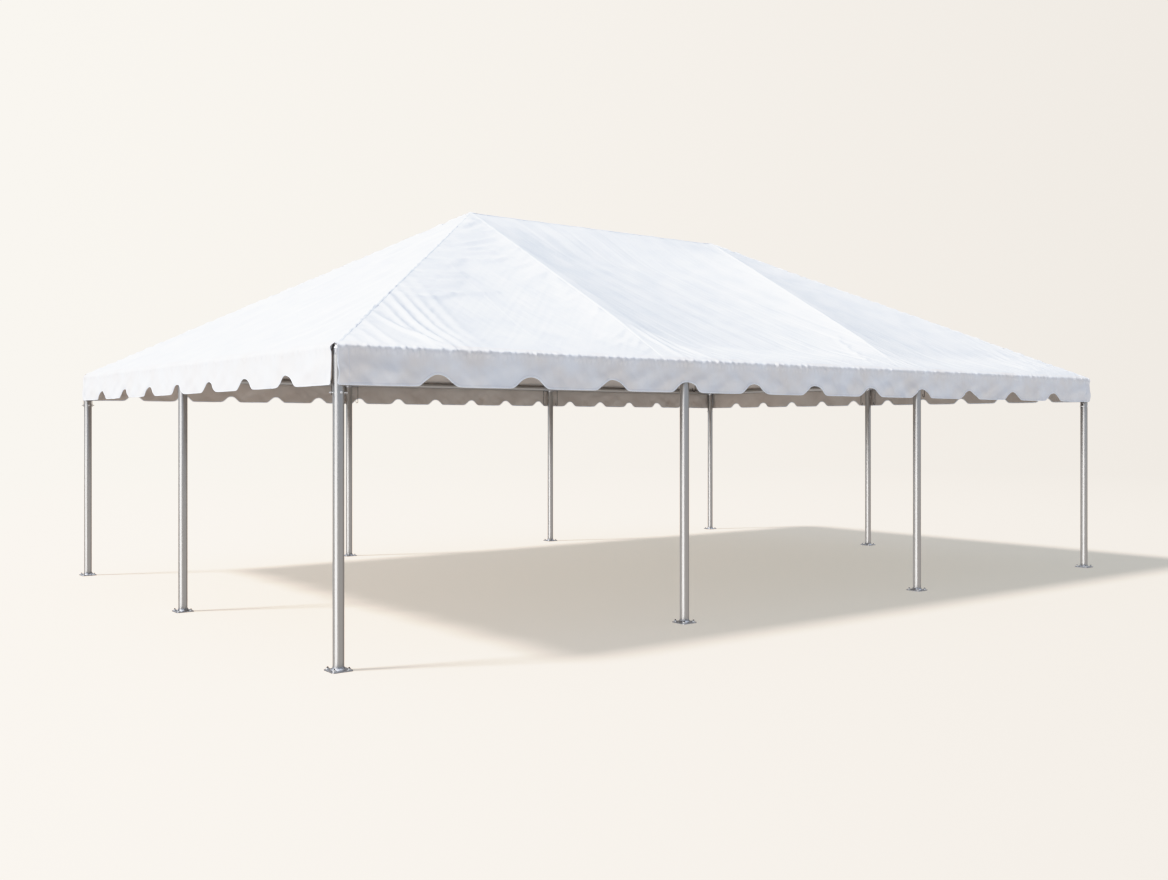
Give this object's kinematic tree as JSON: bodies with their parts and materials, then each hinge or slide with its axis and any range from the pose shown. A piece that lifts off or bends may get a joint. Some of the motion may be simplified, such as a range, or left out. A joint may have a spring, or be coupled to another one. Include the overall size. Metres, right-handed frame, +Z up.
{
  "type": "marquee tent",
  "caption": "White hip-roofed frame marquee on tubular legs with square base plates, open on all sides, with a notched valance.",
  "frame": {"origin": "on the ground under the middle of the ridge", "axes": "+Z up, +X along the long sides, +Y from the front side to the back side"},
  "size_m": [9.294, 6.246, 3.7569],
  "materials": {
    "top": "white PVC-coated polyester, satin",
    "tube": "mill-finish tube, satin",
    "fitting": "hot-dip galvanised"
  },
  "bodies": {
    "root": {"leg_front_left_corner": "tube", "base_plate_front_left_corner": "fitting", "leg_front_left_middle": "tube", "base_plate_front_left_middle": "fitting", "leg_front_right_corner": "tube", "base_plate_front_right_corner": "fitting", "leg_front_right_middle": "tube", "base_plate_front_right_middle": "fitting", "leg_back_left_corner": "tube", "base_plate_back_left_corner": "fitting", "leg_back_left_middle": "tube", "base_plate_back_left_middle": "fitting", "leg_back_right_corner": "tube", "base_plate_back_right_corner": "fitting", "leg_back_right_middle": "tube", "base_plate_back_right_middle": "fitting", "leg_left_end": "tube", "base_plate_left_end": "fitting", "leg_right_end": "tube", "base_plate_right_end": "fitting", "front_eave_rail": "tube", "front_roof_panel": "top", "front_valance": "top", "back_eave_rail": "tube", "back_roof_panel": "top", "back_valance": "top", "left_eave_rail": "tube", "left_roof_panel": "top", "left_valance": "top", "crown_fitting_left": "fitting", "end_rafter_left": "tube", "corner_fitting_front_left": "fitting", "hip_rafter_front_left": "tube", "side_rafter_front_left": "tube", "corner_fitting_back_left": "fitting", "hip_rafter_back_left": "tube", "side_rafter_back_left": "tube", "right_eave_rail": "tube", "right_roof_panel": "top", "right_valance": "top", "crown_fitting_right": "fitting", "end_rafter_right": "tube", "corner_fitting_front_right": "fitting", "hip_rafter_front_right": "tube", "side_rafter_front_right": "tube", "corner_fitting_back_right": "fitting", "hip_rafter_back_right": "tube", "side_rafter_back_right": "tube", "ridge_pole": "tube"}
  },
  "joints": []
}
